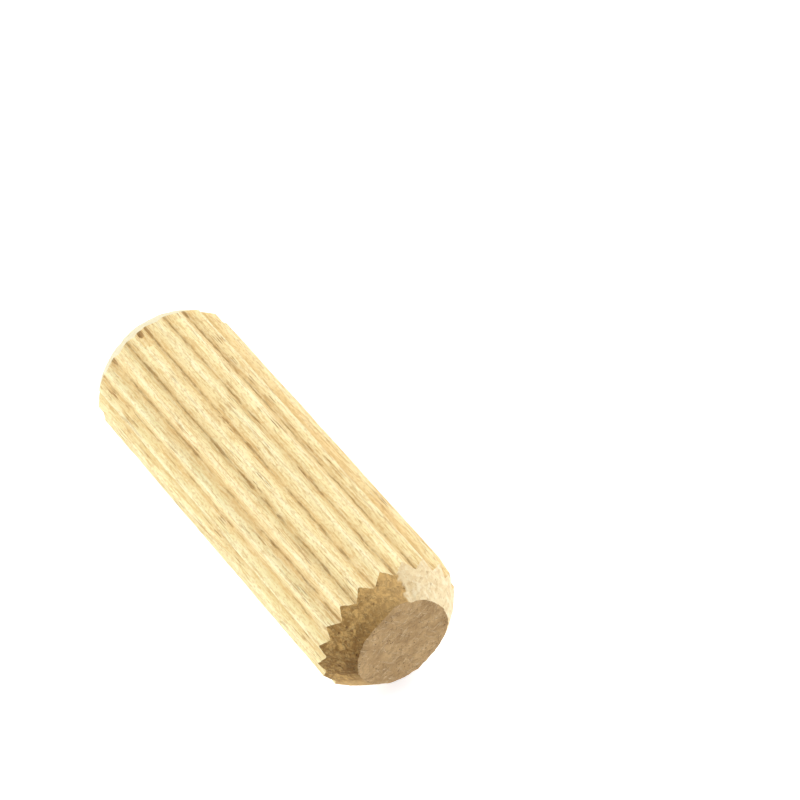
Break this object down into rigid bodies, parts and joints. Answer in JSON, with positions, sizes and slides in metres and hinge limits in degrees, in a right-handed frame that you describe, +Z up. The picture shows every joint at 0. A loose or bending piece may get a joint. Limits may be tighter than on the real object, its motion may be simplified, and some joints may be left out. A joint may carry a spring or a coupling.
{
  "type": "fluted wooden dowel pin",
  "caption": "Short wooden dowel pin with straight flutes along its whole length and a chamfer on each sawn end, for glued joints.",
  "frame": {"origin": "under the middle of the pin, on the surface that its two lowest crests stand on", "axes": "+X along the pin towards the end that shows, +Z up, with a flute straight under the axis"},
  "size_m": [0.0286, 0.01, 0.0099],
  "materials": {
    "wood": "bare, unfinished wood"
  },
  "bodies": {
    "root": {"dowel_pin": "wood"}
  },
  "joints": []
}
